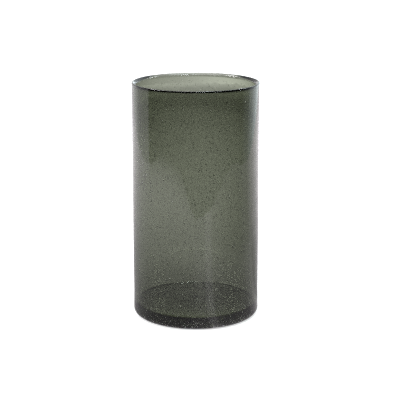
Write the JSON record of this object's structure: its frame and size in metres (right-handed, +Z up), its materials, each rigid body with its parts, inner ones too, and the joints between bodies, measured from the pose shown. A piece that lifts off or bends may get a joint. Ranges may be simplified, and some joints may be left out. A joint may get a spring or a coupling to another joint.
{
  "type": "cylinder vase",
  "caption": "Tall straight-sided cylinder vase of thick seeded glass, open at the top, with a heavy flat base, a rounded heel and a rim that slopes inwards.",
  "frame": {"origin": "on the vase's axis, at the plane it stands on", "axes": "+Z up along the axis and out of the mouth; round, so +X and +Y are any two directions at right angles to it"},
  "size_m": [0.15, 0.15, 0.28],
  "materials": {
    "seeded_glass": "polished, olive grey tint, full of small bubbles"
  },
  "bodies": {
    "root": {"rim": "seeded_glass", "wall": "seeded_glass", "base": "seeded_glass"}
  },
  "joints": []
}
